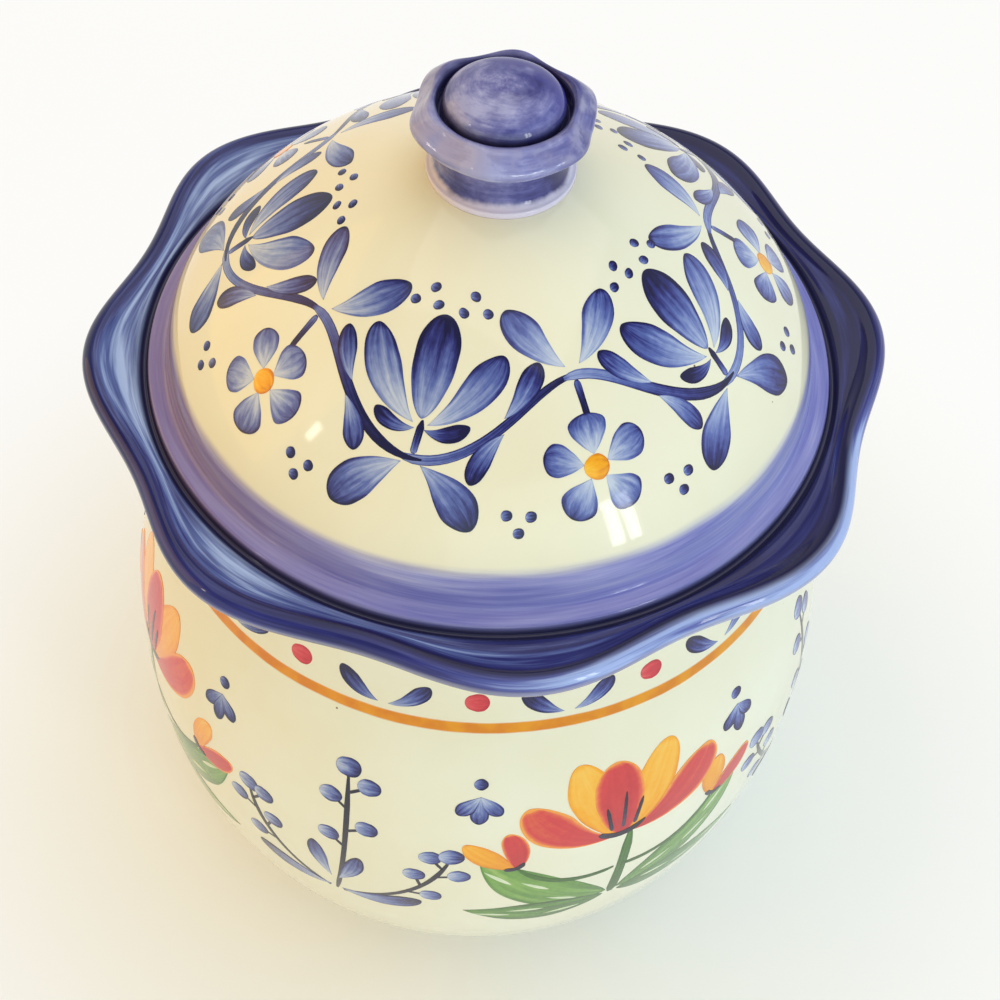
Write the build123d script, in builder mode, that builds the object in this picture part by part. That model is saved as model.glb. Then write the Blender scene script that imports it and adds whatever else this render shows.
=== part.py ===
import math
import os

from build123d import *

# A round-bellied stoneware canister with a domed lid, whose brim and knob are thrown in waves.
# Millimetres. The origin is the centre of the foot, +Z is up, and the lid is closed.

# Jar
jar_height = 176.0
belly_radius = 93.0
belly_height = 78.0
neck_radius = 76.0
neck_height = 14.0
jar_wall = 6.0
floor_thickness = 7.0
foot_radius = 63.0
foot_width = 7.0
foot_height = 4.0
foot_recess = 3.0
rim_round = 1.8
foot_round = 1.2

# Lid
dome_inset = 2.0
dome_rise = 50.0
dome_foot = 7.0
lid_wall = 6.0
brim_reach = 16.0
brim_lobes = 8
brim_wave = 2.8
brim_lift = 0.6
brim_gap = 0.4
brim_turn = 8.6
lip_thickness = 5.4
trough_depth = 1.6
ledge_width = 5.0
ledge_height = 5.8
groove_width = 2.8

# Collar under the lid and the seal round it
collar_depth = 13.0
collar_wall = 4.6
collar_clearance = 3.0
collar_round = 1.5
seal_seat_height = 6.4
seal_seat_depth = 1.2
seal_seat_drop = 3.0
seal_band = 1.7
seal_lip_thickness = 1.2
seal_clearance = 0.3
seal_slack = 0.05
cut_overrun = 1.0

# Knob
knob_foot_radius = 15.4
knob_foot_height = 1.4
knob_neck_radius = 13.2
knob_height = 21.0
knob_brim_radius = 18.4
knob_brim_height = 13.2
knob_brim_lobes = 6
knob_brim_wave = 0.6
knob_brim_lift = 0.5
knob_brim_turn = 23.0
knob_lip_thickness = 3.4
knob_crest_inset = 3.6
knob_crest_rise = 2.8
knob_crest_thickness = 2.2
knob_root_inset = 1.6
knob_groove_drop = 2.0
knob_web = 1.7
button_radius = 12.3
button_edge = 1.6

# How full each curve is, as shares of the rise or the reach that it spans
jar_foot_shares = (0.70, 0.11)
jar_belly_share = 0.49
jar_shoulder_shares = (0.57, 0.26)
bowl_shares = (0.72, 0.50)
dome_foot_shares = (0.04, 0.38)
dome_crown_shares = (0.44, 0.19)
hollow_shares = (0.42, 0.46, 0.17)
button_shares = (0.8, 0.65)

# Levels and radii that the pieces share: the dome of the lid follows the jar's neck
mouth_radius = neck_radius - jar_wall
shoulder_height = jar_height - neck_height
floor_height = foot_recess + floor_thickness
seat_height = jar_height
dome_height = seat_height + dome_foot
crown_height = dome_height + dome_rise
collar_radius = mouth_radius - collar_clearance
collar_inner = collar_radius - collar_wall
collar_foot = seat_height - collar_depth
dome_radius = neck_radius - dome_inset
brim_radius = dome_radius + brim_reach
ledge_radius = dome_radius + ledge_width
ledge_top = seat_height + ledge_height
lip_radius = lip_thickness / 2
lip_height = seat_height + brim_gap + brim_lift + lip_radius
trough_level = lip_radius - trough_depth


def lobe_path(radius, height, lobes, wave, lift, turn):
    """Curve over one lobe of a wavy brim: out and up from a hollow to the crest, and back."""
    middle = math.radians(turn)
    half = math.pi / lobes
    points = []
    for angle, side in ((middle - half, -1), (middle, 1), (middle + half, -1)):
        reach = radius + side * wave
        points.append((reach * math.cos(angle), reach * math.sin(angle), height + side * lift))
    ends = (middle - half, middle + half)
    return Spline(*points, tangents=[(-math.sin(angle), math.cos(angle), 0) for angle in ends])


def hollow_plane(path):
    """Upright plane across the start of a lobe, with local X pointing outward and local Y up."""
    start = path @ 0
    outward = Vector(start.X, start.Y, 0).normalized()
    return Plane(start, x_dir=outward, z_dir=outward.cross(Vector(0, 0, 1)))


# Jar: one revolved wall with a turned foot ring, a full belly, a drawn-in shoulder and a short neck.
with BuildPart() as jar:
    with BuildSketch(Plane.XZ):
        with BuildLine():
            bulge = belly_radius - foot_radius
            lower_rise = belly_height - foot_height
            shoulder_rise = shoulder_height - belly_height
            inner_belly = belly_radius - jar_wall
            inner_floor = foot_radius - jar_wall
            bowl_rise = belly_height - floor_height
            Polyline(
                (0, floor_height),
                (0, foot_recess),
                (foot_radius - foot_width, foot_recess),
                (foot_radius - foot_width, 0),
                (foot_radius, 0),
                (foot_radius, foot_height),
            )
            Bezier(
                (foot_radius, foot_height),
                (foot_radius + jar_foot_shares[0] * bulge, foot_height + jar_foot_shares[1] * lower_rise),
                (belly_radius, belly_height - jar_belly_share * lower_rise),
                (belly_radius, belly_height),
            )
            Bezier(
                (belly_radius, belly_height),
                (belly_radius, belly_height + jar_shoulder_shares[0] * shoulder_rise),
                (neck_radius, shoulder_height - jar_shoulder_shares[1] * shoulder_rise),
                (neck_radius, shoulder_height),
            )
            Polyline(
                (neck_radius, shoulder_height),
                (neck_radius, jar_height),
                (mouth_radius, jar_height),
                (mouth_radius, shoulder_height),
            )
            Bezier(
                (mouth_radius, shoulder_height),
                (mouth_radius, shoulder_height - jar_shoulder_shares[1] * shoulder_rise),
                (inner_belly, belly_height + jar_shoulder_shares[0] * shoulder_rise),
                (inner_belly, belly_height),
            )
            Bezier(
                (inner_belly, belly_height),
                (inner_belly, belly_height - bowl_shares[1] * bowl_rise),
                (inner_floor + bowl_shares[0] * bulge, floor_height),
                (inner_floor, floor_height),
            )
            Line((inner_floor, floor_height), (0, floor_height))
        make_face()
    revolve(axis=Axis.Z)
    fillet(jar.edges().filter_by(GeomType.CIRCLE).group_by(Axis.Z)[-1], rim_round)
    fillet(jar.edges().filter_by(GeomType.CIRCLE).group_by(Axis.Z)[0], foot_round)
jar.part.label = "jar"

# One lobe of the lid's brim: a shallow trough that runs out to a rolled lip, swept over the wave.
with BuildPart() as brim_lobe:
    brim_root = brim_reach - lip_radius
    lip_place = brim_radius - lip_radius
    lid_wave = (brim_lobes, brim_wave, brim_lift, brim_turn)
    with BuildLine() as brim_path:
        lobe_path(lip_place, lip_height, *lid_wave)
    with BuildLine() as brim_guide:
        lobe_path(lip_place, lip_height + brim_reach, *lid_wave)
    with BuildSketch(hollow_plane(brim_path.line)):
        with BuildLine():
            JernArc((0, -lip_radius), (1, 0), lip_radius, 180)
            Bezier(
                (0, lip_radius),
                (-lip_radius, lip_radius),
                (-lip_radius, trough_level),
                (-brim_root, trough_level),
            )
            Polyline((-brim_root, trough_level), (-brim_root, -lip_radius), (0, -lip_radius))
        make_face()
    sweep(path=brim_path.line, binormal=brim_guide.edge())

# Lid: a hollow dome on a flat seat ring, with the collar below it and the wavy brim swept round it.
with BuildPart() as lid:
    with BuildSketch(Plane.XZ):
        with BuildLine():
            dome_run = dome_radius - knob_foot_radius
            hollow_crown = crown_height - lid_wall
            hollow_rise = hollow_crown - seat_height
            crown_inner = knob_foot_radius - lid_wall / 2
            hollow_run = collar_inner - crown_inner
            Polyline(
                (0, hollow_crown),
                (0, crown_height),
                (knob_foot_radius, crown_height),
            )
            Bezier(
                (knob_foot_radius, crown_height),
                (
                    knob_foot_radius + dome_crown_shares[0] * dome_run,
                    crown_height - dome_crown_shares[1] * dome_rise,
                ),
                (
                    dome_radius - dome_foot_shares[0] * dome_run,
                    dome_height + dome_foot_shares[1] * dome_rise,
                ),
                (dome_radius, dome_height),
            )
            Bezier(
                (dome_radius, dome_height),
                (dome_radius, ledge_top),
                (ledge_radius, ledge_top),
            )
            Polyline(
                (ledge_radius, ledge_top),
                (ledge_radius, seat_height),
                (collar_radius, seat_height),
                (collar_radius, collar_foot),
                (collar_inner, collar_foot),
                (collar_inner, seat_height),
            )
            Bezier(
                (collar_inner, seat_height),
                (collar_inner, seat_height + hollow_shares[0] * hollow_rise),
                (crown_inner + hollow_shares[1] * hollow_run, hollow_crown - hollow_shares[2] * hollow_rise),
                (crown_inner, hollow_crown),
            )
            Line((crown_inner, hollow_crown), (0, hollow_crown))
        make_face()
    revolve(axis=Axis.Z)
    fillet(lid.edges().filter_by(GeomType.CIRCLE).group_by(Axis.Z)[0], collar_round)

    with PolarLocations(0, brim_lobes):
        add(brim_lobe.part)

    with BuildSketch(Plane.XZ):
        with Locations((ledge_radius, lip_height + trough_level)):
            Circle(groove_width / 2)
    revolve(axis=Axis.Z, mode=Mode.SUBTRACT)

    with BuildSketch(Plane.XZ):
        seal_seat_top = seat_height - seal_seat_drop
        with Locations((collar_radius - seal_seat_depth, seal_seat_top)):
            Rectangle(seal_seat_depth + cut_overrun, seal_seat_height, align=(Align.MIN, Align.MAX))
    revolve(axis=Axis.Z, mode=Mode.SUBTRACT)
lid.part.label = "lid"

# Seal: a soft ring seated in the collar's groove, with two lips that wipe the jar's mouth.
with BuildPart() as lid_seal:
    with BuildSketch(Plane.XZ):
        band_inner = collar_radius - seal_seat_depth + seal_slack
        band_height = seal_seat_height - 2 * seal_slack
        lip_reach = mouth_radius - seal_clearance - band_inner
        with Locations((band_inner, seal_seat_top - seal_slack)):
            Rectangle(seal_band, band_height, align=(Align.MIN, Align.MAX))
            Rectangle(lip_reach, seal_lip_thickness, align=(Align.MIN, Align.MAX))
        with Locations((band_inner, seal_seat_top - seal_slack - band_height)):
            Rectangle(lip_reach, seal_lip_thickness, align=(Align.MIN, Align.MIN))
    revolve(axis=Axis.Z)
lid_seal.part.label = "lid_seal"

# One lobe of the knob's brim: it falls from a crest beside the button to a rolled lip.
with BuildPart() as knob_lobe:
    knob_lip = knob_lip_thickness / 2
    knob_lip_place = knob_brim_radius - knob_lip
    knob_lip_height = crown_height + knob_brim_height
    knob_wave = (knob_brim_lobes, knob_brim_wave, knob_brim_lift, knob_brim_turn)
    with BuildLine() as knob_path:
        lobe_path(knob_lip_place, knob_lip_height, *knob_wave)
    with BuildLine() as knob_guide:
        lobe_path(knob_lip_place, knob_lip_height + knob_height, *knob_wave)
    with BuildSketch(hollow_plane(knob_path.line)):
        Circle(knob_lip)
        with Locations((knob_lip - knob_crest_inset, knob_crest_rise)):
            Circle(knob_crest_thickness / 2)
        make_hull()
    sweep(path=knob_path.line, binormal=knob_guide.edge())

# Knob: a coved foot and neck, a wavy falling brim, a groove and a domed button, on the dome's crown.
with BuildPart() as lid_knob:
    with BuildSketch(Plane.XZ):
        with BuildLine():
            neck_foot = crown_height + knob_foot_height
            groove_floor = knob_lip_height + knob_crest_rise - knob_groove_drop
            under_brim = groove_floor - knob_web
            neck_middle = (neck_foot + under_brim) / 2
            brim_root_radius = knob_brim_radius - knob_root_inset
            button_top = crown_height + knob_height
            button_foot = groove_floor + button_edge
            button_rise = button_top - button_foot
            Polyline((0, button_top), (0, crown_height), (knob_foot_radius, crown_height))
            Line((knob_foot_radius, crown_height), (knob_foot_radius, neck_foot))
            Bezier(
                (knob_foot_radius, neck_foot),
                (knob_neck_radius, neck_foot),
                (knob_neck_radius, neck_middle),
            )
            Bezier(
                (knob_neck_radius, neck_middle),
                (knob_neck_radius, under_brim),
                (brim_root_radius, under_brim),
            )
            Polyline(
                (brim_root_radius, under_brim),
                (brim_root_radius, groove_floor),
                (button_radius, groove_floor),
                (button_radius, button_foot),
            )
            Bezier(
                (button_radius, button_foot),
                (button_radius, button_foot + button_shares[0] * button_rise),
                (button_shares[1] * button_radius, button_top),
                (0, button_top),
            )
        make_face()
    revolve(axis=Axis.Z)
    with PolarLocations(0, knob_brim_lobes):
        add(knob_lobe.part)
lid_knob.part.label = "lid_knob"

os.makedirs("parts", exist_ok=True)
for piece in (jar, lid, lid_seal, lid_knob):
    export_step(piece.part, f"parts/{piece.part.label}.step")
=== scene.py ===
import math
import random

import bmesh
import bpy
import numpy as np
from mathutils import Matrix, Vector


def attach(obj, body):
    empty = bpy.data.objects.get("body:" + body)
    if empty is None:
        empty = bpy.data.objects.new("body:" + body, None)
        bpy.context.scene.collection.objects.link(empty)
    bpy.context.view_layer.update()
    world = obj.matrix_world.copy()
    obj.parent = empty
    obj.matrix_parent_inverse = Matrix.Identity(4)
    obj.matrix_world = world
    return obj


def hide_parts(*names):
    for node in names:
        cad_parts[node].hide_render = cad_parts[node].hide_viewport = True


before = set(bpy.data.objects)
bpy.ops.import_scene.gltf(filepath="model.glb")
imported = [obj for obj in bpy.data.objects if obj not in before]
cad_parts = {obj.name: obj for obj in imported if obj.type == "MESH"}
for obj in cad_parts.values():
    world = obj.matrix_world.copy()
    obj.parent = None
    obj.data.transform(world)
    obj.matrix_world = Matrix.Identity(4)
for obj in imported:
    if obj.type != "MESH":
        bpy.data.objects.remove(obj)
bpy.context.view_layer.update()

# Jar. One thrown wall of pale stoneware with a turned foot ring, dipped in a glossy cream glaze and
# banded on the wheel with one orange line under the neck. The foot ring is wiped and stays bare clay.
mm = 0.001
wheel_steps = 320
same_place = 1e-4


def drawn(*corners, steps):
    """Points along the Bezier curve that these corners draw, as radius and height."""
    points = []
    for t in np.linspace(0, 1, steps + 1):
        row = np.array(corners, float)
        while len(row) > 1:
            row = row[:-1] * (1 - t) + row[1:] * t
        points.append(tuple(row[0]))
    return points


def rolled(radius, height, edge, start, end, steps=10):
    """Points round a rolled edge, from one angle in degrees to another."""
    angles = np.radians(np.linspace(start, end, steps + 1))
    return [(radius + edge * math.cos(a), height + edge * math.sin(a)) for a in angles]


def eased(outline, step=1.8):
    """The outline with long straight runs divided, and points that meet taken once."""
    points = [outline[0]]
    for place in outline[1:]:
        last = points[-1]
        gap = math.dist(last, place)
        if gap < same_place:
            continue
        parts = max(1, math.ceil(gap / step))
        for part in range(1, parts + 1):
            share = part / parts
            points.append(tuple(a + (b - a) * share for a, b in zip(last, place)))
    return points


def placed(name, data):
    """A new object for this mesh, lamp or lens, put in the scene."""
    made = bpy.data.objects.new(name, data)
    bpy.context.scene.collection.objects.link(made)
    return made


def turned(name, outline, ring=False):
    """A wall turned on the wheel from its outline. Its map runs in turns round and in metres along."""
    path = eased(outline + outline[:1] if ring else outline)
    runs = np.concatenate([[0], np.cumsum([math.dist(a, b) for a, b in zip(path, path[1:])])]) * mm
    area = sum(a[0] * b[1] - b[0] * a[1] for a, b in zip(path, path[1:] + path[:1]))
    vertices, rings = [], []
    for radius, height in path[:-1] if ring else path:
        if radius < same_place:
            rings.append([len(vertices)] * wheel_steps)
            vertices.append((0, 0, height * mm))
            continue
        rings.append(list(range(len(vertices), len(vertices) + wheel_steps)))
        for step in range(wheel_steps):
            angle = 2 * math.pi * step / wheel_steps
            vertices.append((radius * mm * math.cos(angle), radius * mm * math.sin(angle), height * mm))
    if ring:
        rings.append(rings[0])
    faces, places = [], []
    for row in range(len(path) - 1):
        for step in range(wheel_steps):
            after = (step + 1) % wheel_steps
            face = [rings[row][step], rings[row][after], rings[row + 1][after], rings[row + 1][step]]
            low, high = step / wheel_steps, (step + 1) / wheel_steps
            place = [(low, runs[row]), (high, runs[row]), (high, runs[row + 1]), (low, runs[row + 1])]
            kept = [i for i in range(4) if face[i] != face[i - 1]]
            face, place = [face[i] for i in kept], [place[i] for i in kept]
            if area < 0:
                face, place = face[::-1], place[::-1]
            faces.append(face)
            places.extend(place)
    mesh = bpy.data.meshes.new(name)
    mesh.from_pydata(vertices, [], faces)
    map_layer = mesh.uv_layers.new(name="turned")
    map_layer.data.foreach_set("uv", np.array(places, np.float32).ravel())
    mesh.shade_smooth()
    return placed(name, mesh), path, runs


def srgb(red, green, blue):
    """A colour as it looks on screen, turned to the linear values that a shader takes."""
    def linear(part):
        part /= 255
        return part / 12.92 if part <= 0.04045 else ((part + 0.055) / 1.055) ** 2.4
    return (linear(red), linear(green), linear(blue), 1.0)


class Shade:
    """One socket of a recipe. Sums on it add Math nodes, and node() adds any other kind."""

    def __init__(self, tree, socket=None):
        self.tree, self.socket = tree, socket

    def node(self, kind, settings, sockets, out=0):
        made = self.tree.nodes.new("ShaderNode" + kind)
        for name, value in settings.items():
            if name == "stops":
                band = made.color_ramp.elements
                while len(band) < len(value):
                    band.new(0.5)
                for stop, (place, colour) in zip(band, value):
                    stop.position, stop.color = place, colour
            else:
                setattr(made, name, value)
        for name, value in sockets.items():
            if isinstance(value, Shade):
                self.tree.links.new(value.socket, made.inputs[name])
            else:
                made.inputs[name].default_value = value
        return Shade(self.tree, made.outputs[out])

    def sum(self, operation, first, second):
        return self.node("Math", {"operation": operation}, {0: first, 1: second})

    def __add__(self, other):
        return self.sum("ADD", self, other)

    def __sub__(self, other):
        return self.sum("SUBTRACT", self, other)

    def __rsub__(self, other):
        return self.sum("SUBTRACT", other, self)

    def __mul__(self, other):
        return self.sum("MULTIPLY", self, other)

    __radd__, __rmul__ = __add__, __mul__

    def place(self):
        """Where a point lies on its piece, in metres."""
        return self.node("TexCoord", {}, {}, "Object")

    def chart(self, name):
        """Where a point lies in one of its piece's maps."""
        return self.node("UVMap", {"uv_map": name}, {})

    def axis(self, name):
        """One axis of this vector."""
        return self.node("SeparateXYZ", {}, {0: self}, name)

    def noise(self, scale, detail, roughness=0.5):
        """Noise over this vector, swinging round 0.5."""
        sockets = {"Vector": self, "Scale": scale, "Detail": detail, "Roughness": roughness}
        return self.node("TexNoise", {}, sockets, "Fac")

    def rise(self, low, high):
        """0 below low, 1 above high and an eased step between."""
        limits = {"Value": self, "From Min": low, "From Max": high}
        return self.node("MapRange", {"interpolation_type": "SMOOTHSTEP"}, limits)

    def band(self, low, full, fade, end):
        """1 from full to fade, eased to 0 at low and at end."""
        return self.rise(low, full) * (1 - self.rise(fade, end))

    def blend(self, none, full):
        """From one colour to another as this value goes from 0 to 1."""
        return self.node("Mix", {"data_type": "RGBA"}, {0: self, 6: none, 7: full}, 2)

    def ramp(self, *stops):
        """The colour that this value has along a row of stops."""
        return self.node("ValToRGB", {"stops": stops}, {"Fac": self})

    def into(self, shader, name):
        self.tree.links.new(self.socket, shader.inputs[name])


glaze_refraction, glaze_gloss, clay_dullness = 1.46, 0.07, 0.75


def recipe(name, gloss):
    """A new material whose shader has the refraction of a fired glaze, and the start of its recipe."""
    material = bpy.data.materials.new(name)
    material.use_nodes = True
    shader = material.node_tree.nodes["Principled BSDF"]
    shader.inputs["IOR"].default_value = glaze_refraction
    shader.inputs["Roughness"].default_value = gloss
    return material, shader, Shade(material.node_tree)


def glaze_skin(start, shader, depth=0.06):
    """The faint unevenness that a poured glaze keeps, seen only in its reflections."""
    swell = start.place().noise(75.0, 1.5)
    bump = {"Strength": 0.5, "Distance": depth * mm, "Height": swell}
    start.node("Bump", {}, bump).into(shader, "Normal")


def cream_glaze(start, warm=srgb(239, 231, 206), pale=srgb(241, 236, 215)):
    """Cream glaze, a little warmer and a little paler in drifts, with a few iron specks."""
    cream = start.place().noise(26.0, 3.0).rise(0.32, 0.70).blend(warm, pale)
    cells = start.node("TexVoronoi", {}, {"Vector": start.place(), "Scale": 70.0}, "Distance")
    return (1 - cells.rise(0.012, 0.026)).blend(cream, srgb(120, 96, 70))


def bare_clay(start):
    """Fired clay without glaze, grained with grog."""
    return start.place().noise(900.0, 4.0).rise(0.35, 0.65).blend(srgb(206, 190, 160), srgb(222, 208, 182))


def wall_run(start):
    """How far along its wall's outline a point lies, in millimetres."""
    return start.chart("turned").axis("Y") * (1 / mm)


jar_outline = (
    [(0, 3), (55.4, 3), (56, 2.4), (56, 1.2)]
    + rolled(57.2, 1.2, 1.2, 180, 270)
    + rolled(61.8, 1.2, 1.2, 270, 360)
    + [(63, 3.5)]
    + drawn((63, 4), (84, 12.1), (93, 41.7), (93, 78), steps=44)
    + drawn((93, 78), (93, 125.9), (76, 140.2), (76, 162), steps=48)
    + rolled(74.2, 174.2, 1.8, 0, 90)
    + rolled(71.8, 174.2, 1.8, 90, 180)
    + drawn((70, 162), (70, 140.2), (87, 125.9), (87, 78), steps=36)
    + drawn((87, 78), (87, 44), (78.6, 10), (57, 10), steps=36)
    + [(0, 10)]
)
jar, jar_path, jar_runs = turned("jar_wall", jar_outline)
rim_place = max(range(len(jar_path)), key=lambda i: jar_path[i][1])
rim_run = float(jar_runs[rim_place]) / mm
line_low, line_high, line_edge = 140.7, 144.1, 0.5
wiped_low, wiped_high = 2.6, 3.3
jar_glaze, shader, start = recipe("jar_glaze", glaze_gloss)
height = start.place().axis("Z") * (1 / mm)
waver = start.place().noise(60.0, 3.0)
level = height + (waver - 0.5) * 0.7
outside = 1 - wall_run(start).rise(rim_run - 1, rim_run)
line = level.band(line_low, line_low + line_edge, line_high - line_edge, line_high) * outside
orange = start.place().noise(190.0, 2.0).rise(0.3, 0.7).blend(srgb(224, 132, 0), srgb(236, 154, 0))
cream = cream_glaze(start, warm=srgb(239, 234, 213), pale=srgb(241, 239, 223))
clay = 1 - (height + waver).rise(wiped_low, wiped_high)
clay.blend(line.blend(cream, orange), bare_clay(start)).into(shader, "Base Color")
(glaze_gloss + clay * clay_dullness).into(shader, "Roughness")
glaze_skin(start, shader)
jar.data.materials.append(jar_glaze)
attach(jar, "jar_body")
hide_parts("jar")

# Lid. A thrown dome on a flat seat ring, with a collar below that drops into the jar's mouth. Its brim
# was pinched into waves while soft, and carries blue glaze brushed on in bands as the lid turned.


def geometry_tree(name, sizes):
    """A new geometry tree with named inputs, and a short way to add and wire its nodes."""
    tree = bpy.data.node_groups.new(name, "GeometryNodeTree")
    tree.interface.new_socket("Geometry", in_out="INPUT", socket_type="NodeSocketGeometry")
    for label, kind in sizes.items():
        tree.interface.new_socket(label, in_out="INPUT", socket_type="NodeSocket" + kind)
    tree.interface.new_socket("Geometry", in_out="OUTPUT", socket_type="NodeSocketGeometry")
    given = tree.nodes.new("NodeGroupInput").outputs

    def add(kind, settings, sockets, out=0):
        made = tree.nodes.new(kind)
        for label, value in settings.items():
            setattr(made, label, value)
        for label, value in sockets.items():
            if isinstance(value, bpy.types.NodeSocket):
                tree.links.new(value, made.inputs[label])
            else:
                made.inputs[label].default_value = value
        return made.outputs[out]

    def end(geometry):
        whole = add("GeometryNodeRealizeInstances", {}, {"Geometry": geometry})
        glazed = add("GeometryNodeSetMaterial", {}, {"Geometry": whole, "Material": given["Material"]})
        tree.links.new(glazed, tree.nodes.new("NodeGroupOutput").inputs[0])

    return tree, given, add, end


def shaped(piece, tree, **sizes):
    """Runs a geometry tree on a piece with these sizes and keeps the result as its plain mesh."""
    modifier = piece.modifiers.new(tree.name, "NODES")
    modifier.node_group = tree
    for item in tree.interface.items_tree:
        if item.in_out == "INPUT" and item.name in sizes:
            modifier[item.identifier] = sizes[item.name]
    view = bpy.context.evaluated_depsgraph_get()
    view.update()
    mesh = bpy.data.meshes.new_from_object(piece.evaluated_get(view), depsgraph=view)
    piece.modifiers.remove(modifier)
    piece.data = mesh
    mesh.name = piece.name


# The waves of a brim: points move out and up with the wave, more the nearer they lie to the lip.
wave_sizes = (
    "Lobes", "Wave", "Lift", "Turn", "Root", "Lip", "Base", "Top", "Uneven", "Drawn", "Bearing", "Seed",
)
wave_tree, given, add, end = geometry_tree(
    "wavy_brim", {name: "Float" for name in wave_sizes} | {"Material": "Material"},
)


def maths(operation, first, second=0.0):
    """A Math node in the tree that add() wires at the time."""
    return add("ShaderNodeMath", {"operation": operation}, {0: first, 1: second})


def vectors(operation, sockets, out=0):
    """A Vector Math node in that tree."""
    return add("ShaderNodeVectorMath", {"operation": operation}, sockets, out)


def axis_of(vector, axis):
    """One axis of a vector in that tree."""
    return add("ShaderNodeSeparateXYZ", {}, {0: vector}, axis)


def step_between(value, low, high):
    """0 below low, 1 above high and an eased step between."""
    sockets = {"Value": value, "From Min": low, "From Max": high}
    return add("ShaderNodeMapRange", {"interpolation_type": "SMOOTHSTEP"}, sockets)


where = add("GeometryNodeInputPosition", {}, {})
flat = vectors("MULTIPLY", {0: where, 1: (1, 1, 0)})
outward = vectors("NORMALIZE", {0: flat})
reach = vectors("LENGTH", {0: flat}, "Value")
angle = maths("ARCTAN2", axis_of(where, "Y"), axis_of(where, "X"))
crest = maths("COSINE", maths("MULTIPLY", maths("SUBTRACT", angle, given["Turn"]), given["Lobes"]))
weight = maths(
    "MULTIPLY",
    step_between(reach, given["Root"], given["Lip"]),
    step_between(axis_of(where, "Z"), given["Base"], given["Top"]),
)
spread = add(
    "ShaderNodeTexNoise",
    {"noise_dimensions": "4D"},
    {"Vector": outward, "W": given["Seed"], "Scale": 1.7, "Detail": 1.0},
)
uneven = maths("MULTIPLY", maths("SUBTRACT", spread, 0.5), given["Uneven"])
narrowness = 26.0
near = maths("COSINE", maths("SUBTRACT", angle, given["Bearing"]))
drawn_out = maths("MULTIPLY", maths("POWER", maths("MAXIMUM", near, 0.0), narrowness), given["Drawn"])
swing = maths("ADD", maths("MULTIPLY", crest, given["Wave"]), maths("ADD", uneven, drawn_out))
radial = vectors("SCALE", {0: outward, "Scale": maths("MULTIPLY", swing, weight)})
lifted = maths("MULTIPLY", maths("MULTIPLY", crest, given["Lift"]), weight)
shift = vectors("ADD", {0: radial, 1: add("ShaderNodeCombineXYZ", {}, {"Z": lifted})})
end(add("GeometryNodeSetPosition", {}, {"Geometry": given["Geometry"], "Offset": shift}))

lid_outline = (
    [(0, 233), (15.2, 233)]
    + drawn((15.4, 233), (41.2, 223.5), (71.7, 202), (74, 183), steps=60)
    + drawn((74, 183), (74.02, 181.9), (75.2, 181.85), (77.5, 181.8), steps=10)
    + drawn((77.5, 181.8), (78.7, 181.75), (78.0, 179.5), (79.1, 179.5), steps=10)
    + drawn((79.1, 179.5), (80.2, 179.5), (79.7, 180.8), (81.3, 180.8), steps=10)
    + drawn((81.3, 180.8), (84.4, 180.8), (84.9, 182.4), (87.3, 182.4), steps=16)
    + rolled(87.3, 179.7, 2.7, 90, -90, steps=20)
    + drawn((80.6, 177), (79.3, 177), (79.3, 176), (78.2, 176), steps=8)
    + [(67.5, 176), (67, 175.5), (67, 173.2), (66.8, 173), (65.8, 173)]
    + [(65.8, 166.6), (66.8, 166.6), (67, 166.4)]
    + rolled(65.5, 164.5, 1.5, 0, -90)
    + rolled(63.9, 164.5, 1.5, -90, -180)
    + drawn((62.4, 176), (62.4, 197.4), (35.4, 218.3), (12.4, 227), steps=44)
    + [(0, 227)]
)
lid, lid_path, lid_runs = turned("lid_dome", lid_outline)


def marked(path, runs, **places):
    """How far along a wall, in millimetres, its outline comes nearest to each radius and height."""
    def nearest(place):
        return min(range(len(path)), key=lambda i: math.dist(path[i], place))
    return {name: float(runs[nearest(place)]) / mm for name, place in places.items()}


def brushed_round(start, turns, bands, detail=4.0):
    """Streaks that a brush leaves on a turning wall: long round it, fine across."""
    flat = start.node("VectorMath", {"operation": "MULTIPLY"}, {0: start.place(), 1: (1, 1, 0)})
    outward = start.node("VectorMath", {"operation": "NORMALIZE"}, {0: flat})
    long = start.node("VectorMath", {"operation": "SCALE"}, {0: outward, "Scale": turns})
    fine = start.node("CombineXYZ", {}, {"Z": start.chart("turned").axis("Y") * bands})
    return start.node("VectorMath", {"operation": "ADD"}, {0: long, 1: fine}).noise(1.0, detail, 0.6)


def brush_load(base, *swings):
    """How much paint the brush leaves: a base, and noises that swing it by these amounts."""
    for noise, swing in swings:
        base = base + (noise - 0.5) * swing
    return base


def plan(start):
    """How far to the right and to the back a point lies, in millimetres."""
    return [start.place().axis(axis) * (1 / mm) for axis in "XY"]


lid_glaze, shader, start = recipe("lid_glaze", glaze_gloss)
run = wall_run(start)
side, depth = plan(start)
at = marked(
    lid_path, lid_runs, wash=(70.2, 190.5), groove=(79.1, 179.5), trough=(83.2, 181.0), lip=(87.3, 182.4),
    edge=(90, 179.7), under=(86.0, 177), seat=(78.6, 176), collar=(67, 174.5),
)
streaks = brushed_round(start, 2.2, 620.0, detail=3.0)
fine_streaks = brushed_round(start, 4.0, 2100.0)
slow = brushed_round(start, 1.1, 40.0, detail=2.0)

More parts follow.
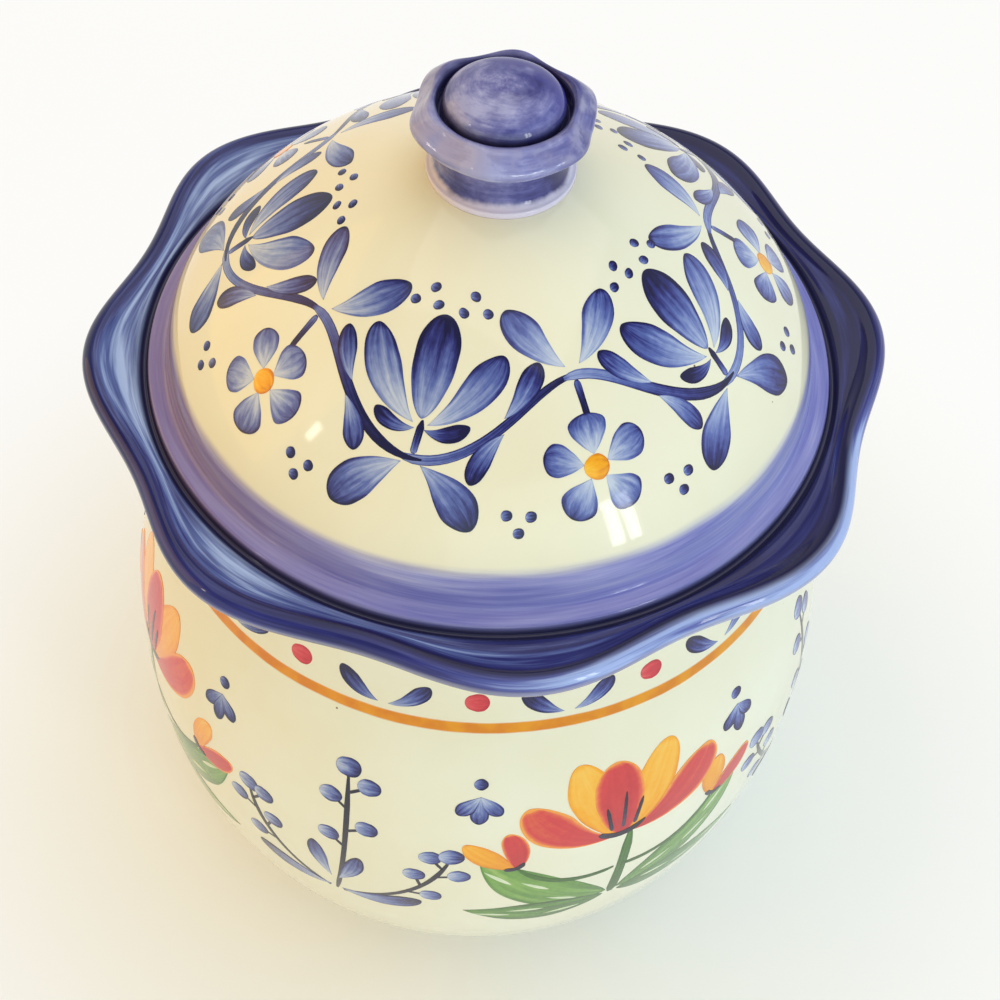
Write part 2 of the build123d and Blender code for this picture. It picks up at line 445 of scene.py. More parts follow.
# Mauve wash at the foot of the dome, soft at its upper edge, and redder on the left with painted warm light.
wash = brush_load(run, (slow, 5.0), (streaks, 1.2)).rise(at["wash"] - 1.6, at["wash"] + 1.8)
wash_load = brush_load(0.34, (streaks, 0.8), (fine_streaks, 0.3), (slow, 0.9))
wash_load = wash_load + run.rise(at["wash"] + 4.0, at["groove"] - 5.0) * 0.14
mauve = wash_load.ramp(
    (0.05, srgb(186, 186, 224)), (0.35, srgb(147, 148, 209)),
    (0.62, srgb(112, 113, 190)), (0.95, srgb(64, 62, 134)),
)
# Painted warm light: the wash turns redder towards the left.
mauve = ((0 - side).rise(5, 70) * 0.45).blend(mauve, srgb(154, 122, 152))

# Blue in the dish of the brim, loaded towards the lip, lighter on the left with a painted reflection and
# darker to the right and back in painted shade.
dish_load_and_light = brush_load(0.46, (streaks, 1.5), (fine_streaks, 0.4), (slow, 0.8))
# Painted reflection and shade: the dish is lighter on the left and darker to the right and back.
dish_load_and_light = dish_load_and_light + side * 0.0044 + depth.rise(0, 90) * 0.13
dish_load_and_light = dish_load_and_light + run.rise(at["trough"] + 0.4, at["lip"] - 0.6) * 0.42
dish = dish_load_and_light.ramp(
    (0.02, srgb(170, 190, 238)), (0.30, srgb(92, 109, 172)), (0.55, srgb(46, 50, 118)),
    (0.82, srgb(27, 24, 86)), (1.0, srgb(20, 17, 68)),
)

# Blue on the lip, paler at the right front with a painted reflection, darker to the back right in painted
# shade, and pale along its edge, partly worn thin and partly a painted highlight.
# Painted reflection: the lip pales towards the right front.
reflection_right_front = (side * 0.766 - depth * 0.643).rise(40, 88)
lip_load_and_light = brush_load(0.67, (streaks, 1.4), (fine_streaks, 0.4), (slow, 1.1))
# Painted shade: the lip darkens towards the back right.
lip_load_and_light = lip_load_and_light - reflection_right_front * 0.50 - side * 0.0016 + (side + depth).rise(40, 100) * 0.4
lip = lip_load_and_light.ramp(
    (0.02, srgb(164, 182, 236)), (0.28, srgb(90, 100, 176)),
    (0.55, srgb(48, 52, 128)), (0.92, srgb(20, 21, 82)),
)
on_dish = run.rise(at["groove"] + 0.4, at["groove"] + 1.8)
on_lip = run.rise(at["lip"] - 0.8, at["lip"] + 1.4)
groove = run.band(at["groove"] - 3.2, at["groove"] - 0.7, at["groove"] + 0.8, at["groove"] + 3.2)
# Pale lip edge: glaze worn thin on the edge, and a painted highlight along it.
worn_edge_and_highlight = brush_load(run, (streaks, 2.0))
worn_edge_and_highlight = worn_edge_and_highlight.band(at["edge"] - 1.2, at["edge"] - 0.2, at["edge"] + 0.4, at["edge"] + 1.6)
blue = on_lip.blend(on_dish.blend(mauve, dish), lip)
blue = (groove * 0.94).blend(blue, srgb(17, 15, 55))
blue = (worn_edge_and_highlight * 0.6).blend(blue, srgb(158, 160, 188))
under = brush_load(run, (slow, 4.0)).rise(at["under"] - 1.0, at["under"] + 1.0)
cream = cream_glaze(start)
glazed = under.blend(wash.blend(cream, blue), cream)
clay = run.band(at["seat"] - 0.4, at["seat"] + 0.4, at["collar"] - 1.0, at["collar"])
clay.blend(glazed, bare_clay(start)).into(shader, "Base Color")
(glaze_gloss + clay * clay_dullness).into(shader, "Roughness")
glaze_skin(start, shader)
lid.data.materials.append(lid_glaze)
shaped(
    lid, wave_tree, Material=lid_glaze, Seed=3.0, Lobes=8.0, Turn=math.radians(8.6),
    Wave=2.8 * mm, Lift=0.6 * mm, Root=79.5 * mm, Lip=86 * mm, Base=170 * mm, Top=176.4 * mm,
    Uneven=2.4 * mm, Drawn=1.6 * mm, Bearing=math.radians(143.6),
)
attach(lid, "lid_body")
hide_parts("lid")

# Knob. Thrown apart and luted to the crown of the dome: a coved neck, a small brim that falls outward
# in six waves and a domed button, brushed all over in blue that runs thin on the edges and pools in
# the groove. Painted shade darkens the blue on the neck under the brim, towards the right and back, and
# inside the brim round the groove. A pale ring of slip shows round its foot.
knob_outline = (
    [(0, 233), (15.2, 233), (15.4, 233.3), (15.4, 234.1)]
    + drawn((15.3, 234.5), (13.2, 234.6), (13.2, 239.85), steps=14)
    + drawn((13.2, 239.85), (13.2, 243.6), (14.3, 244.5), (15.9, 244.7), steps=16)
    + rolled(16.7, 246.2, 1.7, -118, 36, steps=20)
    + rolled(14.5, 249.1, 1.15, 36, 190, steps=14)
    + drawn((13.3, 248.4), (13.2, 247.3), (13.2, 247), (12.8, 247), steps=8)
    + drawn((12.8, 247), (12.3, 247), (12.3, 247.5), (12.3, 248.6), steps=8)
    + drawn((12.3, 248.6), (12.3, 252.9), (8, 254), (0, 254), steps=36)
)
knob, knob_path, knob_runs = turned("lid_knob_thrown", knob_outline)
knob_glaze, shader, start = recipe("knob_glaze", glaze_gloss)
run = wall_run(start)
side, depth = plan(start)
at = marked(
    knob_path, knob_runs, foot=(14.2, 235.4), edge=(18.4, 246.2), crest=(15.0, 250.2), groove=(12.8, 247),
    button=(12.3, 249.2),
)
streaks = brushed_round(start, 1.6, 700.0)
fine_streaks = brushed_round(start, 3.0, 2200.0)
mottle = start.place().noise(120.0, 4.0, 0.6)
neck = 1 - run.rise(at["foot"] + 1.0, at["edge"] - 4.0)
load = brush_load(0.46, (streaks, 0.7), (fine_streaks, 0.3), (mottle, 1.6))
# Painted shade: the blue darkens on the neck under the brim and towards the right and back.
blue = (load + side * 0.013 + depth * 0.014 + neck * 0.34).ramp(
    (0.05, srgb(166, 167, 216)), (0.35, srgb(117, 118, 181)),
    (0.62, srgb(78, 79, 150)), (0.95, srgb(41, 39, 103)),
)
# A random cobalt blot on the button, with painted shade that pulls it towards the right and back.
blot_and_shade = ((start.place().noise(62.0, 5.0, 0.6) - 0.5) * 0.9 + side * 0.03 + depth * 0.032).rise(0.05, 0.24)
blot_and_shade = blot_and_shade * run.rise(at["button"], at["button"] + 2.0)
blue = (blot_and_shade * 0.85).blend(blue, srgb(46, 44, 142))
patch = start.place().noise(95.0, 3.0).rise(0.50, 0.68)
blue = (patch * 0.5).blend(blue, srgb(62, 57, 124))
thin = run.band(at["edge"] - 1.0, at["edge"] + 1.0, at["crest"] - 0.6, at["crest"] + 1.0)
blue = (thin * mottle.rise(0.42, 0.62) * 0.7).blend(blue, srgb(172, 168, 208))
# Blue pooled round the groove, widened with painted shade under the button's wall and inside the brim.
pool_and_shade = run.band(at["groove"] - 4.6, at["groove"] - 2.4, at["groove"] + 2.0, at["groove"] + 5.2)
blue = (pool_and_shade * 0.88).blend(blue, srgb(40, 35, 78))
foot = 1 - brush_load(run, (mottle, 3.0)).rise(at["foot"] - 0.8, at["foot"] + 0.9)
(foot * 0.9).blend(blue, srgb(234, 224, 248)).into(shader, "Base Color")
glaze_skin(start, shader, depth=0.1)
knob.data.materials.append(knob_glaze)
shaped(
    knob, wave_tree, Material=knob_glaze, Seed=8.0, Lobes=6.0, Turn=math.radians(23),
    Wave=0.6 * mm, Lift=0.5 * mm, Root=13.0 * mm, Lip=16.4 * mm, Base=239 * mm, Top=244 * mm,
    Uneven=0.9 * mm, Drawn=0.0, Bearing=0.0,
)
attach(knob, "lid_body")
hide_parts("lid_knob")

# Seal. A soft clear-white silicone ring that is stretched into the groove of the lid's collar. Its two
# thin lips wipe the jar's mouth.
rubber_refraction, rubber_gloss = 1.41, 0.35
seal_outline = (
    [(65.85, 166.65)]
    + rolled(69.1, 167.25, 0.6, -90, 90)
    + drawn((68.2, 167.85), (67.55, 167.9), (67.55, 168.6), steps=6)
    + drawn((67.55, 171.0), (67.55, 171.7), (68.2, 171.75), steps=6)
    + rolled(69.1, 172.35, 0.6, -90, 90)
    + [(65.85, 172.95)]
)
seal = turned("lid_seal_ring", seal_outline, ring=True)[0]
seal_rubber, shader, start = recipe("seal_rubber", rubber_gloss)
haze = start.place().noise(240.0, 3.0)
haze.rise(0.3, 0.7).blend(srgb(224, 224, 220), srgb(236, 236, 232)).into(shader, "Base Color")
(0.28 + haze * 0.2).into(shader, "Roughness")
start.node("Bump", {}, {"Strength": 0.3, "Distance": 0.05 * mm, "Height": haze}).into(shader, "Normal")
shader.inputs["IOR"].default_value = rubber_refraction
shader.inputs["Subsurface Weight"].default_value = 0.2
shader.inputs["Subsurface Scale"].default_value = 4 * mm
seal.data.materials.append(seal_rubber)
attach(seal, "lid_body")
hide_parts("lid_seal")

# Painting on the lid. Cobalt brushed on the raw glaze before firing: a waving vine round the dome, with
# tulips in its upper bays, round blossoms in its lower ones, and leaf pairs, commas and dots between.
paint_depth, paint_gloss = 0.03, 0.08
stem_coat, stroke_coat, coat_step = 0.8, 1.4, 0.3
row_length, fewest_rows, most_rows = 0.6, 22, 48
thinnest, sharp_edge, stray_seed = 0.02, 35, 5
hand = random.Random(11)

# Brush strokes lie flat in the wall's own map, and this tree lays them on the wall, repeated round it.
brush_tree, given, add, end = geometry_tree(
    "laid_on_glaze",
    {
        "Wall": "Object", "Lift": "Float", "Repeats": "Int", "Stray": "Float", "Seed": "Int",
        "Material": "Material",
    },
)
spread = add("ShaderNodeCombineXYZ", {}, {"X": maths("DIVIDE", 1.0, given["Repeats"])})
starts = add("GeometryNodeMeshLine", {}, {"Count": given["Repeats"], "Offset": spread})
strayed = add(
    "FunctionNodeRandomValue",
    {"data_type": "FLOAT_VECTOR"},
    {0: (-1.0, -0.25, 0.0), 1: (1.0, 0.25, 0.0), "Seed": given["Seed"]},
)
strayed = vectors("SCALE", {0: strayed, "Scale": given["Stray"]})
starts = add("GeometryNodeSetPosition", {}, {"Geometry": starts, "Offset": strayed})
rows = add("GeometryNodeInstanceOnPoints", {}, {"Points": starts, "Instance": given["Geometry"]})
touch = add("FunctionNodeRandomValue", {"data_type": "FLOAT"}, {"Seed": given["Seed"]}, 1)
rows = add(
    "GeometryNodeStoreNamedAttribute",
    {"data_type": "FLOAT", "domain": "INSTANCE"},
    {"Geometry": rows, "Name": "touch", "Value": touch},
)
strokes = add("GeometryNodeRealizeInstances", {}, {"Geometry": rows})
where = add("GeometryNodeInputPosition", {}, {})
turn_place = maths("FRACT", axis_of(where, "X"))
spot = add("ShaderNodeCombineXYZ", {}, {"X": turn_place, "Y": axis_of(where, "Y")})
wall = add("GeometryNodeObjectInfo", {"transform_space": "ORIGINAL"}, {"Object": given["Wall"]}, "Geometry")
wall_map = add("GeometryNodeInputNamedAttribute", {"data_type": "FLOAT_VECTOR"}, {"Name": "turned"})
wall_normal = add("GeometryNodeInputNormal", {}, {})


def on_wall(value):
    sockets = {"Mesh": wall, "Value": value, "UV Map": wall_map, "Sample UV": spot}
    return add("GeometryNodeSampleUVSurface", {"data_type": "FLOAT_VECTOR"}, sockets)


proud = maths("MULTIPLY", axis_of(where, "Z"), given["Lift"])
proud = vectors("SCALE", {0: on_wall(wall_normal), "Scale": proud})
laid = vectors("ADD", {0: on_wall(where), 1: proud})
end(add("GeometryNodeSetPosition", {}, {"Geometry": strokes, "Position": laid}))

brush_shapes = {
    "drop": lambda t: math.sin(math.pi * t ** 1.7) ** 0.55,
    "petal": lambda t: math.sin(math.pi * t ** 1.25) ** 0.5,
    "lance": lambda t: math.sin(math.pi * t ** 0.85) ** 0.9,
    "dot": lambda t: math.sqrt(max(0.0, 1 - (2 * t - 1) ** 2)),
    "stem": lambda t: min(1.0, (t + 0.02) * 9) ** 0.5 * min(1.0, (1.02 - t) * 4) ** 0.6,
}


class Brush:
    """Strokes of one paint on one wall, each kept as a flat leaf in the wall's map."""

    def __init__(self, path, runs, up):
        self.radii, self.runs, self.up = [place[0] for place in path], runs / mm, up
        self.vertices, self.faces, self.places, self.loads, self.seeds = [], [], [], [], []
        self.laid = 0

    def spot(self, around, run, x, y):
        at = run + self.up * y
        radius = np.interp(at, self.runs, self.radii)
        return around / 360 + x / (2 * math.pi * radius), at * mm

    def stroke(
        self, around, run, x, y, heading, length, width, bend=0.0, load=0.5, shape="drop", stray=1.0,
    ):
        """One stroke: from x, y off a place on the wall, along its heading in degrees, up being 90."""
        heading += hand.uniform(-4, 4) * stray
        length *= 1 + hand.uniform(-0.06, 0.06) * stray
        rows = max(fewest_rows, min(most_rows, round(length / row_length)))
        spine, last = [], 0.0
        for row in range(rows + 1):
            t = (1 - math.cos(math.pi * row / rows)) / 2
            way = math.radians(heading + bend * (t - 0.5))
            x += math.cos(way) * (t - last) * length
            y += math.sin(way) * (t - last) * length
            spine.append((t, x, y, way))
            last = t
        self.lay(around, run, spine, width, load, shape, stray, stroke_coat + coat_step * (self.laid % 4))
        return spine

    def motif(self, around, run, strokes):
        """Strokes round one place, each as x, y, heading, length, width, bend, load and shape."""
        for stroke in strokes:
            self.stroke(around, run, *stroke)

    def follow(self, course, width, load):
        """One long stroke along a course of angles and runs."""
        around, run = course[0]
        places = []
        for angle, at in course:
            radius = np.interp(at, self.runs, self.radii)
            places.append((math.radians(angle - around) * radius, (at - run) * self.up))
        spine = []
        for row, (x, y) in enumerate(places):
            before, after = places[max(row - 1, 0)], places[min(row + 1, len(places) - 1)]
            way = math.atan2(after[1] - before[1], after[0] - before[0])
            spine.append((row / (len(places) - 1), x, y, way))
        self.lay(around, run, spine, width, load, "stem", 1.0, stem_coat + coat_step * (self.laid % 2))

    def lay(self, around, run, spine, width, load, shape, stray, coat):
        """A leaf of paint along its spine. Its coat sets how high it lies, so that strokes cross cleanly."""
        self.laid += 1
        width *= 1 + hand.uniform(-0.08, 0.08) * stray
        load += hand.uniform(-0.12, 0.12) * stray
        columns = 6 if width > 3 else 4
        first, second = hand.uniform(0, 6.3), hand.uniform(0, 6.3)
        base, seed, rows = len(self.vertices), hand.uniform(0, 10), len(spine) - 1
        for level in (coat, -1):
            for t, x, y, way in spine:
                shake = 1 + 0.045 * math.sin(6 * t + first) + 0.012 * math.sin(19 * t + second)
                half = max(thinnest, brush_shapes[shape](t) * shake) * width / 2
                for column in range(columns + 1) if level > 0 else (0, columns):
                    off = half * (1 - 2 * column / columns)
                    place = self.spot(around, run, x - math.sin(way) * off, y + math.cos(way) * off)
                    self.vertices.append((*place, level))
                    self.places.append((t, column / columns))
                    self.loads.append(load)
                    self.seeds.append(seed)
        wide, under = columns + 1, base + (rows + 1) * (columns + 1)
        for row in range(rows):
            top, low = base + row * wide, under + row * 2
            for left in range(top, top + columns):
                self.faces.append((left, left + 1, left + wide + 1, left + wide))
            self.faces.append((low + 1, low, low + 2, low + 3))
            self.faces.append((low, top, top + wide, low + 2))
            self.faces.append((top + columns, low + 1, low + 3, top + wide + columns))
        last_top = base + rows * wide
        self.faces.append((*range(base + columns, base - 1, -1), under, under + 1))
        self.faces.append((*range(last_top, last_top + wide), under + rows * 2 + 1, under + rows * 2))

    def dot(self, around, run, x, y, size, load=0.6):
        self.stroke(around, run, x - size / 2, y, 0, size, size, load=load, shape="dot", stray=0.5)

    def fired(self, name, wall, body, slot, paint, under=0.0, repeats=1, stray=0.0):
        """The strokes laid on the wall, over the coats that lie under them, as one plain mesh."""
        mesh = bpy.data.meshes.new(name)
        raised = [(x, y, level + under if level > 0 else level) for x, y, level in self.vertices]
        mesh.from_pydata(raised, [], self.faces)
        corners = [self.places[vertex] for face in self.faces for vertex in face]
        mesh.uv_layers.new(name="stroke").data.foreach_set("uv", np.array(corners, np.float32).ravel())
        mesh.attributes.new("load", "FLOAT", "POINT").data.foreach_set("value", self.loads)
        mesh.attributes.new("seed", "FLOAT", "POINT").data.foreach_set("value", self.seeds)
        mesh.shade_smooth()
        mesh.materials.append(paint)
        piece = placed(name, mesh)
        shaped(
            piece, brush_tree, Wall=wall, Lift=paint_depth * mm, Repeats=repeats, Stray=stray,
            Seed=stray_seed, Material=paint,
        )
        solid = bmesh.new()
        solid.from_mesh(piece.data)
        bmesh.ops.recalc_face_normals(solid, faces=solid.faces)
        solid.to_mesh(piece.data)
        solid.free()
        piece.data.set_sharp_from_angle(angle=math.radians(sharp_edge))
        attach(piece, body)


def brush_paint(name, stops, rim=0.32, streak=1.0, pull=0.55):
    """Brushed paint: thin where the brush starts, loaded at its end and edge, streaked along the stroke."""
    material, shader, start = recipe(name, paint_gloss)
    along, across = [start.chart("stroke").axis(axis) for axis in "XY"]
    load, seed, touch = [
        start.node("Attribute", {"attribute_name": kept}, {}, "Fac") for kept in ("load", "seed", "touch")
    ]
    off = start.node("Math", {"operation": "ABSOLUTE"}, {0: across * 2 - 1})
    hair = start.node("CombineXYZ", {}, {"X": along * 1.7, "Y": across * 6.5, "Z": seed * 7 + touch * 3})
    hairs = hair.noise(1.0, 4.0, 0.62)
    grain = start.place().noise(620.0, 3.0)
    wet = off.rise(0.66, 1.0) * rim + along.rise(0.92, 1.0) * rim + (1 - along.rise(0.0, 0.05)) * rim
    value = brush_load(load + (along - 0.5) * pull, (hairs, streak), (grain, 0.22)) + wet
    value.ramp(*stops).into(shader, "Base Color")
    glaze_skin(start, shader)
    return material


cobalt = brush_paint(
    "cobalt_brushwork",
    (
        (0.0, srgb(196, 204, 226)), (0.28, srgb(146, 160, 208)), (0.55, srgb(90, 105, 176)),
        (0.80, srgb(48, 51, 124)), (1.0, srgb(25, 23, 68)),
    ),
    pull=0.85,
)
saffron = brush_paint(
    "saffron_dabs", ((0.2, srgb(255, 196, 60)), (0.6, srgb(248, 168, 20)), (1.0, srgb(214, 120, 16))),
)
blue_on_lid, yellow_on_lid = Brush(lid_path, lid_runs, -1), Brush(lid_path, lid_runs, -1)
waves, low_at, vine_run, vine_swing = 5, -103.0, 57.0, 8.5
vine_lead, vine_overlap, vine_places = 3, 5, 26
blossom_y, blossom_turn, petals, petal_reach = -18.5, 12, 5, 2.6
tulip = (
    (0, 1, 90, 7, 1.6, 0, 0.80, "stem"),
    (-1.5, 7, 124, 20, 8.2, -46, 0.40, "drop"),
    (1.5, 7, 56, 20, 8.2, 46, 0.40, "drop"),
    (0, 8, 90, 21, 9.0, 0, 0.62, "petal"),
    (-1, 6, 168, 9, 3.6, -60, 0.75, "drop"),
    (1, 6, 12, 9, 3.6, 60, 0.75, "drop"),
    (-2, -1, -140, 18, 7.6, 30, 0.45, "drop"),
    (2, -1, -40, 18, 7.6, -30, 0.45, "drop"),
)
blossom_spray = (
    (-1.5, 2, 128, 16, 7.0, -34, 0.42, "drop"),
    (1.5, 2, 52, 16, 7.0, 34, 0.42, "drop"),
    (0, -1, -90, 9, 1.5, 0, 0.85, "stem"),
)


def vine_at(around):
    """How far down the dome the vine runs at this angle."""
    return vine_run + vine_swing * math.cos(math.radians(waves * (around - low_at)))


for wave in range(waves):
    low = low_at + 360 / waves * wave
    high = low + 180 / waves
    for begin in (low - vine_lead, high - vine_lead):
        places = np.linspace(begin, begin + 180 / waves + vine_overlap, vine_places)
        blue_on_lid.follow([(around, vine_at(around)) for around in places], 2.1, load=0.75)
    crown = vine_at(high)
    blue_on_lid.motif(low, vine_at(low), tulip)
    blue_on_lid.motif(high, crown, blossom_spray)
    for petal in range(petals):
        way = 90 + 360 / petals * petal + blossom_turn * wave
        x, y = petal_reach * math.cos(math.radians(way)), petal_reach * math.sin(math.radians(way))
        blue_on_lid.stroke(high, crown, x, blossom_y + y, way, 8.6, 7.6, load=0.36)
    yellow_on_lid.dot(high, crown, 0, blossom_y, 5.2, load=0.5)
    for side in (-1, 1):
        flank = low + side * 90 / waves
        for up in (1, -1):
            way = up * 90 - side * 34
            blue_on_lid.stroke(flank, vine_at(flank), 0, up * 1.5, way, 12, 4.6, side * 30, 0.55)
        for up, beside, above, size in ((1, -5.5, 21.5, 2.1), (-1, 3, -17.5, 2.3)):
            for x, y in ((-2.4, 0), (2.4, 0.4), (0, 3.6)):
                blue_on_lid.dot(flank, vine_at(flank), x + side * beside, above + up * y, size, load=0.8)
blue_on_lid.fired("lid_cobalt_vine", lid, "lid_body", "lid_glaze", cobalt)
yellow_on_lid.fired("lid_blossom_centres", lid, "lid_body", "lid_glaze", saffron, under=1.2)

# Painting on the jar. Four tulip sprays in red, orange and green stand round the belly, with blue
# berries on dark sprigs and drops between them. Red dots and blue comma pairs run round the shoulder
# above the orange line.
foot_radius = 63
wall_places = [i for i in range(rim_place) if jar_path[i][0] >= foot_radius]
wall_levels = [jar_path[i][1] for i in wall_places]


def jar_run(level):
    """How far along the jar's outside, in millimetres, this height lies."""
    return float(np.interp(level, wall_levels, jar_runs[wall_places])) / mm


def off_stroke(place, left, ahead=0.0):
    """The spot this far to the left of a place on a stroke, and ahead of it."""
    t, x, y, way = place
    return (
        x - math.sin(way) * left + math.cos(way) * ahead,
        y + math.cos(way) * left + math.sin(way) * ahead,
    )


leaf_green = brush_paint(
    "leaf_green",
    (
        (0.0, srgb(168, 196, 110)), (0.35, srgb(122, 168, 80)),
        (0.65, srgb(76, 128, 54)), (1.0, srgb(50, 92, 40)),
    ),
    rim=0.25, streak=0.9, pull=-0.3,
)
leaf_light = brush_paint("leaf_light", ((0.2, srgb(226, 234, 206)), (0.9, srgb(190, 212, 168))), rim=-0.2)
tulip_red = brush_paint(
    "tulip_red",
    (
        (0.0, srgb(248, 164, 70)), (0.25, srgb(234, 112, 72)),
        (0.55, srgb(218, 66, 68)), (1.0, srgb(186, 40, 56)),
    ),
    rim=-0.62, streak=0.5, pull=-0.25,
)
tulip_orange = brush_paint(
    "tulip_orange",
    (
        (0.0, srgb(255, 206, 96)), (0.4, srgb(252, 176, 40)),
        (0.75, srgb(240, 146, 18)), (1.0, srgb(206, 104, 20)),
    ),
    rim=0.28, streak=0.7, pull=-0.4,
)
ink = brush_paint(
    "dark_ink", ((0.0, srgb(96, 92, 124)), (0.5, srgb(46, 42, 66)), (1.0, srgb(26, 24, 36))), rim=0.1,
)
dot_red = brush_paint(
    "dot_red", ((0.0, srgb(232, 110, 110)), (0.6, srgb(216, 62, 74)), (1.0, srgb(190, 44, 60))),
)
green, light, red, orange_paint, dark, stems, blue_on_jar = [
    Brush(jar_path, jar_runs, 1) for paint in range(7)
]
sprays, spray_at, spray_level, drop_level = 4, -64.0, 88.0, 124
leaf_lights = ((0.28, 1.9), (0.46, -1.7), (0.60, 1.4))
sprigs = ((128, -56, 44, 1), (90, 14, 60, 1), (52, 56, 44, -1))
for spray in range(sprays):
    around, foot = spray_at + 360 / sprays * spray, jar_run(spray_level)
    green.stroke(around, foot, 0, -24, 90, 36, 2.8, load=0.75, shape="stem")
    for side in (-1, 1):
        leaves = [
            green.stroke(around, foot, side * 1.5, -22, 90 - side * 50, 50, 15, side * 40, 0.5, "lance"),
            green.stroke(around, foot, side * 2, -24, 90 - side * 88, 40, 11.5, side * 26, 0.58, "lance"),
        ]
        for leaf in leaves:
            for share, off in leaf_lights:
                vein = leaf[round(share * (len(leaf) - 1))]
                heading = math.degrees(vein[3])
                light.stroke(around, foot, *off_stroke(vein, off), heading, 10, 1.3, 0, 0.4, "lance")
        bud = green.stroke(around, foot, side * 1, -6, 90 - side * 70, 31, 1.9, side * 76, 0.8, "stem")
        t, x, y, way = bud[-1]
        heading = math.degrees(way)
        orange_paint.stroke(around, foot, x, y, heading + 22, 16, 7.2, -28, 0.45, "petal")
        red.stroke(around, foot, x, y, heading - 22, 16, 7.2, 28, 0.6, "petal")
        cup = off_stroke(bud[-1], 2.8, ahead=1.2)
        dark.stroke(around, foot, *cup, heading - 90, 6.4, 1.6, 96, 0.6, "stem", stray=0.0)
        orange_paint.stroke(around, foot, side * 2.5, 12, 90 - side * 17, 31, 11.5, side * 6, 0.4, "petal")
        red.stroke(around, foot, side * 2, 11, 90 - side * 48, 31, 12.5, side * 62, 0.62)
    red.stroke(around, foot, 0, 11, 90, 29, 13.5, load=0.62, shape="petal")
    dark.stroke(around, foot, -6.2, 13.6, 0, 13.6, 2.1, 92, 0.6, "stem", stray=0.0)
    for x, length in ((-3, 10), (0, 14), (3, 10)):
        dark.stroke(around, foot, x, 14, 90 - x * 3, length, 1.0, load=0.55, shape="stem")
    between, root = around - 180 / sprays, jar_run(spray_level - 2)
    for heading, bend, length, outer in sprigs:
        stem = stems.stroke(
            between, root, (90 - heading) / 20, -22, heading, length, 1.5, bend, 0.7, "stem",
        )
        for share, turn in ((0.46, outer), (0.60, -outer), (0.74, outer), (0.86, -outer)):
            t, x, y, way = min(stem, key=lambda place: abs(place[0] - share))
            way = math.degrees(way) + 52 * turn
            stalk = stems.stroke(between, root, x, y, way, 6.2, 0.9, load=0.7, shape="stem")
            blue_on_jar.dot(between, root, stalk[-1][1], stalk[-1][2], 5.8, load=0.44)
        blue_on_jar.dot(between, root, stem[-1][1], stem[-1][2], 6.4, load=0.48)
    for side in (-1, 1):
        blue_on_jar.stroke(between, root, side * 1.5, -21, 90 - side * 76, 22, 7.0, side * 40, 0.42)
        blue_on_jar.stroke(between, root, side * 1.0, -14, 90 - side * 18, 17, 5.0, side * 20, 0.46)
    for gap in (around + 90 / sprays, around - 90 / sprays):
        fill = jar_run(drop_level)
        for turn in (-40, 0, 40):
            blue_on_jar.stroke(gap, fill, 0, -2, 270 + turn, 10 - abs(turn) / 20, 4.2, load=0.5)
        blue_on_jar.dot(gap, fill, 0, 2.2, 3.4, load=0.7)
for brush, name, paint, under in (
    (green, "jar_leaves", leaf_green, 0.0),
    (light, "jar_leaf_lights", leaf_light, 1.2),
    (orange_paint, "jar_orange_petals", tulip_orange, 1.2),
    (red, "jar_red_petals", tulip_red, 2.4),
    (stems, "jar_sprig_stems", ink, 0.0),
    (blue_on_jar, "jar_berries", cobalt, 1.2),
    (dark, "jar_ink_lines", ink, 3.6),
):
    brush.fired(name, jar, "jar_body", "jar_glaze", paint, under=under)
border_repeats, border_stray = 12, 0.0012
dot_at, dot_level, comma_at, comma_level = 2.0, 149.5, 17.0, 145.4
border_red, border_blue = Brush(jar_path, jar_runs, 1), Brush(jar_path, jar_runs, 1)
border_red.dot(dot_at, jar_run(dot_level), 0, 0, 5.6)
for side in (-1, 1):
    border_blue.stroke(
        comma_at, jar_run(comma_level), side * 1.2, 0, 90 - side * 48, 11.5, 4.6, side * 50, 0.62,
    )
border_red.fired(
    "jar_border_dots", jar, "jar_body", "jar_glaze", dot_red, repeats=border_repeats, stray=border_stray,
)
border_blue.fired(
    "jar_border_commas", jar, "jar_body", "jar_glaze", cobalt, repeats=border_repeats, stray=border_stray,
)

# Studio. A pale floor that goes white away from the canister's shadow, in a soft room that is warm on the
# left and cool on the right. A tall two-pane window at the right front and a small lamp on the left give
# the glaze its highlights.
floor_reach = 4
floor_corners = [(x * floor_reach, y * floor_reach, 0) for x, y in ((-1, -1), (1, -1), (1, 1), (-1, 1))]
floor_mesh = bpy.data.meshes.new("floor")
floor_mesh.from_pydata(floor_corners, [], [(0, 1, 2, 3)])
floor = placed("floor", floor_mesh)
floor_paint, shader, start = recipe("floor_paint", 0.8)
shader.inputs["Base Color"].default_value = (0.92, 0.92, 0.92, 1)
shader.inputs["Specular IOR Level"].default_value = 0.0


def seen(start):
    """1 for what the lens or a reflection sees, 0 for the light that falls on the canister."""
    rays = ("Is Camera Ray", "Is Glossy Ray", "Is Transmission Ray")
    camera, glossy, through = [start.node("LightPath", {}, {}, ray) for ray in rays]
    return start.sum("MAXIMUM", start.sum("MAXIMUM", camera, glossy), through)


far = start.node("VectorMath", {"operation": "LENGTH"}, {0: start.place()}, "Value")
white_below, white_near, white_far = 0.10, 0.74, 0.16
share = white_below + far.rise(0.08, 0.25) * white_near + far.rise(0.5, 1.4) * white_far
painted = Shade(floor_paint.node_tree, shader.outputs[0])
white = start.node("Emission", {}, {"Strength": 1.0})
lit = start.node("MixShader", {}, {0: seen(start) * share, 1: painted, 2: white})
lit.into(floor_paint.node_tree.nodes["Material Output"], "Surface")
floor_mesh.materials.append(floor_paint)


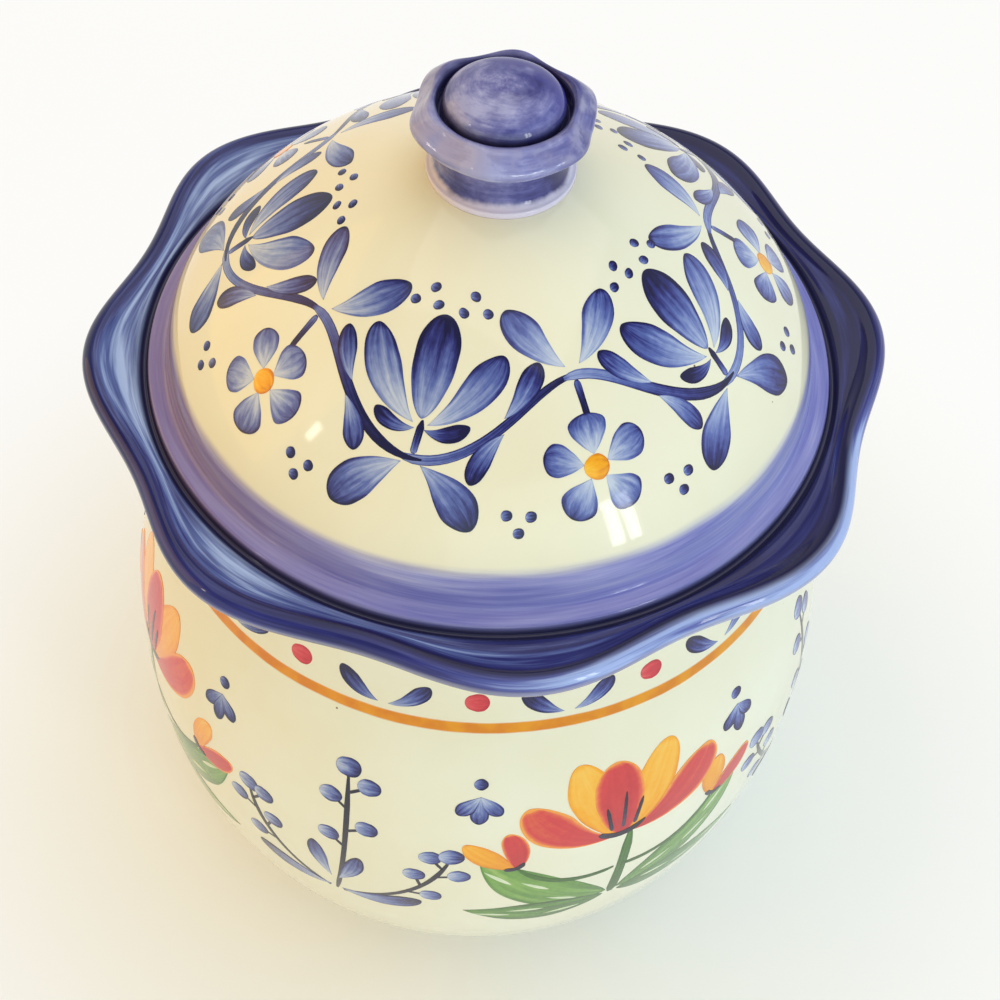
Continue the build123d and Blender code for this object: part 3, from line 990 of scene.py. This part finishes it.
def window(name, place, aim, width, height, power, colour):
    """A soft rectangular light that faces a point of the canister."""
    lamp = bpy.data.lights.new(name, "AREA")
    lamp.shape, lamp.size, lamp.size_y = "RECTANGLE", width, height
    lamp.energy, lamp.color = power, colour
    light = placed(name, lamp)
    light.location = place
    light.rotation_euler = (Vector(aim) - Vector(place)).to_track_quat("-Z", "Y").to_euler()


middle = (0, 0, 0.14)
window("left_wall", (-1.6, 0.1, 0.85), middle, 1.6, 1.4, 7.1, (1.0, 0.53, 0.03))
window("ceiling", (0.1, 0.3, 1.6), middle, 1.7, 1.7, 7.8, (1.0, 1.0, 1.0))
window("front_wall", (0.6, -1.85, 0.75), middle, 2.0, 1.6, 7.2, (0.68, 0.96, 1.0))
window("left_lamp", (-0.95, -0.5, 0.75), middle, 0.05, 0.12, 0.22, (1.0, 0.92, 0.80))
dome_front = (0.03, -0.06, 0.2)
panes_middle, along_panes = Vector((0.81, -0.83, 0.46)), Vector((0.70, 0.71, 0))
for pane, shift in (("front_pane", -0.055), ("back_pane", 0.055)):
    pane_place = panes_middle + along_panes * shift
    window(pane, pane_place, dome_front, 0.08, 0.46, 1.0, (0.93, 1.0, 0.97))
world = bpy.data.worlds.new("room")
world.use_nodes = True
start = Shade(world.node_tree)
way = start.node("TexCoord", {}, {}, "Generated")
tint = way.axis("X").rise(-0.9, 0.5).blend((0.66, 0.44, 0.11, 1), (0.54, 0.66, 0.70, 1))
walls = way.axis("Z").rise(0.25, 0.8).blend((1.0, 1.0, 1.0, 1), (0.27, 0.28, 0.33, 1))
seen(start).blend(tint, walls).into(world.node_tree.nodes["Background"], "Color")
bpy.context.scene.world = world
bpy.context.scene.view_settings.view_transform = "Standard"

# Camera, held above the front of the canister and tilted a little.
tilt = math.radians(4.16)
camera_place = (0.00470, -0.23585, 0.43865)
forward = Vector((0, 0.594, -0.8044)).normalized()
right = Vector((1, 0, 0))
up = right.cross(forward)
frame_right = right * math.cos(tilt) + up * math.sin(tilt)
frame_up = up * math.cos(tilt) - right * math.sin(tilt)
lens = bpy.data.cameras.new("camera")
lens.lens, lens.sensor_width = 54.0, 36.0
camera = placed("camera", lens)
turn = Matrix((frame_right, frame_up, -forward)).transposed()
camera.matrix_world = Matrix.Translation(camera_place) @ turn.to_4x4()
bpy.context.scene.camera = camera
